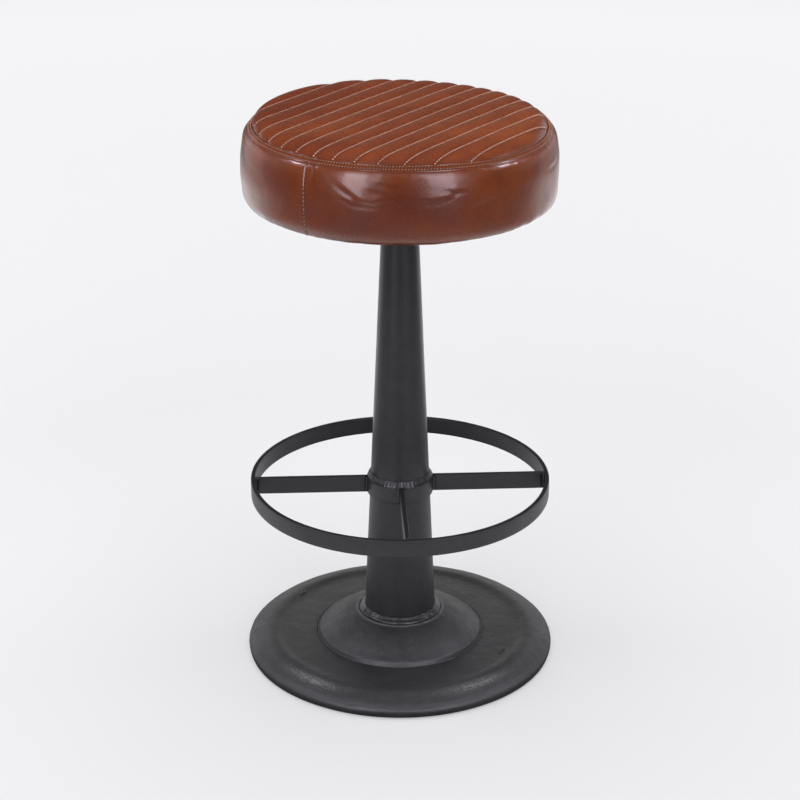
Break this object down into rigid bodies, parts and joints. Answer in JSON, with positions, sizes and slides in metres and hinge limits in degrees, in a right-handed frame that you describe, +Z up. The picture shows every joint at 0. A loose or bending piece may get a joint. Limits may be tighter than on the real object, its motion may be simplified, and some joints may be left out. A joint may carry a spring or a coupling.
{
  "type": "counter stool",
  "caption": "Counter stool with a round channelled leather seat that turns on a tapered steel column, a round flat-bar footrest and a heavy cast base.",
  "frame": {"origin": "on the floor, under the column's axis", "axes": "+Z up along the column; footrest spokes along X and Y; -Y is the side the picture shows"},
  "size_m": [0.3594, 0.3594, 0.651],
  "materials": {
    "cast_black": "black paint over rough sand casting",
    "coated_black": "satin black powder coat",
    "brown_leather": "waxed brown hide, glossy",
    "foam": "cut polyurethane foam",
    "plywood": "raw plywood",
    "cover_cloth": "black spun dust cover",
    "zinc_steel": "bright zinc",
    "plain_steel": "turned steel, oiled",
    "bearing_steel": "ground bearing steel",
    "bronze": "oiled bronze",
    "rubber_black": "moulded black rubber sheet"
  },
  "bodies": {
    "stand": {"base_casting": "cast_black", "floor_sheet": "rubber_black", "column": "coated_black", "column_weld": "coated_black", "column_foot_plug": "plain_steel", "base_washer": "zinc_steel", "base_spring_washer": "zinc_steel", "base_bolt": "zinc_steel", "footrest_hub": "coated_black", "footrest_hoop": "coated_black", "footrest_spoke_right": "coated_black", "footrest_spoke_back": "coated_black", "footrest_spoke_left": "coated_black", "footrest_spoke_front": "coated_black", "footrest_welds": "coated_black", "bearing_housing": "coated_black", "housing_spacer": "plain_steel", "upper_bush": "bronze", "lower_bush": "bronze", "lower_race": "bearing_steel"},
    "seat": {"upper_race": "bearing_steel", "swivel_spindle": "plain_steel", "retaining_washer": "zinc_steel", "retaining_ring": "zinc_steel", "seat_plate": "coated_black", "seat_bolt_washers": "zinc_steel", "seat_bolts": "zinc_steel", "seat_tee_nuts": "zinc_steel", "seat_staples": "zinc_steel", "seat_board": "plywood", "seat_dust_cover": "cover_cloth", "seat_side_band": "brown_leather", "seat_edge_strip": "brown_leather", "seat_top_panel": "brown_leather", "seat_foam": "foam"},
    "cage": {"ball_cage": "bronze", "bearing_balls": "bearing_steel"}
  },
  "joints": [
    {"name": "seat_swivel", "type": "hinge", "parent": "stand", "child": "seat", "pos_m": [0, 0, 0.55], "axis": [0, 0, 1], "continuous": true},
    {"name": "cage_turn", "type": "hinge", "parent": "stand", "child": "cage", "pos_m": [0, 0, 0.55], "axis": [0, 0, 1], "continuous": true}
  ],
  "couplings": [
    {"joint": "cage_turn", "follows": "seat_swivel", "ratio": 0.5}
  ]
}
